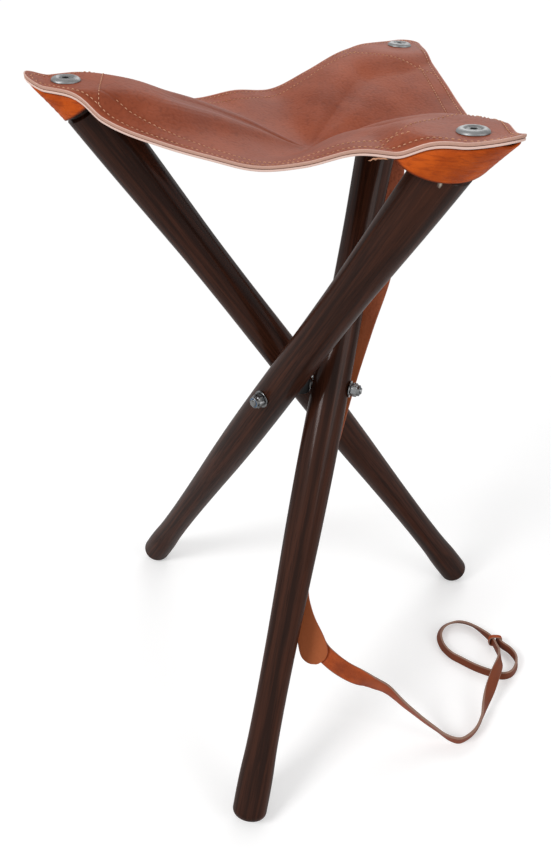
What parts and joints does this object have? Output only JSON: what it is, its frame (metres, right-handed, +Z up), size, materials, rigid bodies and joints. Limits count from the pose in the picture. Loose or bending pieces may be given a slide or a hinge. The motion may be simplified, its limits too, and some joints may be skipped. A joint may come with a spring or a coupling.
{
  "type": "tripod stool",
  "caption": "Folding stool: leather sling seat on turned wooden legs that cross at a bolted hub, with a carry strap and a looped tie strap.",
  "frame": {"origin": "on the floor, under the middle of the box around the stool without its tie strap", "axes": "+Z up, +X to the right and -Y to the front, as the stool stands in the picture"},
  "size_m": [0.3979, 0.3786, 0.5473],
  "materials": {
    "leg_wood": "dark stain under satin lacquer",
    "seat_leather": "grained, lightly waxed",
    "lining_leather": "matte flesh side",
    "pocket_leather": "wrinkled, semi matte",
    "strap_leather": "pebbled",
    "tie_leather": "smooth, waxed",
    "cup_steel": "nickel plated",
    "hardware_steel": "zinc plated",
    "hub_steel": "zinc plated, dull",
    "nylon": "moulded"
  },
  "bodies": {
    "hub": {"bolt_hub": "hub_steel", "inner_washer_back": "hardware_steel", "inner_washer_left": "hardware_steel", "inner_washer_right": "hardware_steel", "lock_nut_back": "hardware_steel", "lock_nut_left": "hardware_steel", "lock_nut_right": "hardware_steel", "nut_insert_back": "nylon", "nut_insert_left": "nylon", "nut_insert_right": "nylon", "outer_washer_back": "hardware_steel", "outer_washer_left": "hardware_steel", "outer_washer_right": "hardware_steel", "seat_lining": "lining_leather", "seat_panel": "seat_leather", "stud_back": "hardware_steel", "stud_left": "hardware_steel", "stud_right": "hardware_steel"},
    "leg_left": {"leg_left": "leg_wood", "corner_pocket_left": "pocket_leather", "cup_washer_left": "cup_steel", "corner_screw_left": "hardware_steel"},
    "leg_right": {"leg_right": "leg_wood", "corner_pocket_right": "pocket_leather", "cup_washer_right": "cup_steel", "corner_screw_right": "hardware_steel"},
    "leg_back": {"leg_back": "leg_wood", "corner_pocket_back": "pocket_leather", "cup_washer_back": "cup_steel", "corner_screw_back": "hardware_steel", "carry_strap": "strap_leather", "strap_screw_top": "hardware_steel", "strap_screw_low": "hardware_steel", "strap_washer_top": "hardware_steel", "strap_washer_low": "hardware_steel", "tie_strap": "tie_leather", "tie_keeper": "tie_leather"}
  },
  "joints": [
    {"name": "fold_left", "type": "hinge", "parent": "hub", "child": "leg_left", "pos_m": [-0.01267, 0.0456, 0.30768], "axis": [-0.2964, 0.9535, 0.054], "range_deg": [0, 22], "deforming": ["seat_panel", "seat_lining", "corner_pocket_left", "corner_pocket_right", "corner_pocket_back"]},
    {"name": "fold_right", "type": "hinge", "parent": "hub", "child": "leg_right", "pos_m": [-0.02317, 0.00065, 0.30599], "axis": [-0.6885, -0.7252, -0.0093], "range_deg": [0, 20]},
    {"name": "fold_back", "type": "hinge", "parent": "hub", "child": "leg_back", "pos_m": [0.02131, 0.01398, 0.30505], "axis": [0.9728, -0.2273, -0.0443], "range_deg": [0, 23.6], "deforming": ["tie_strap", "tie_keeper"]}
  ],
  "couplings": [
    {"joint": "fold_right", "follows": "fold_left", "ratio": 0.8909},
    {"joint": "fold_back", "follows": "fold_left", "ratio": 1.0528}
  ]
}
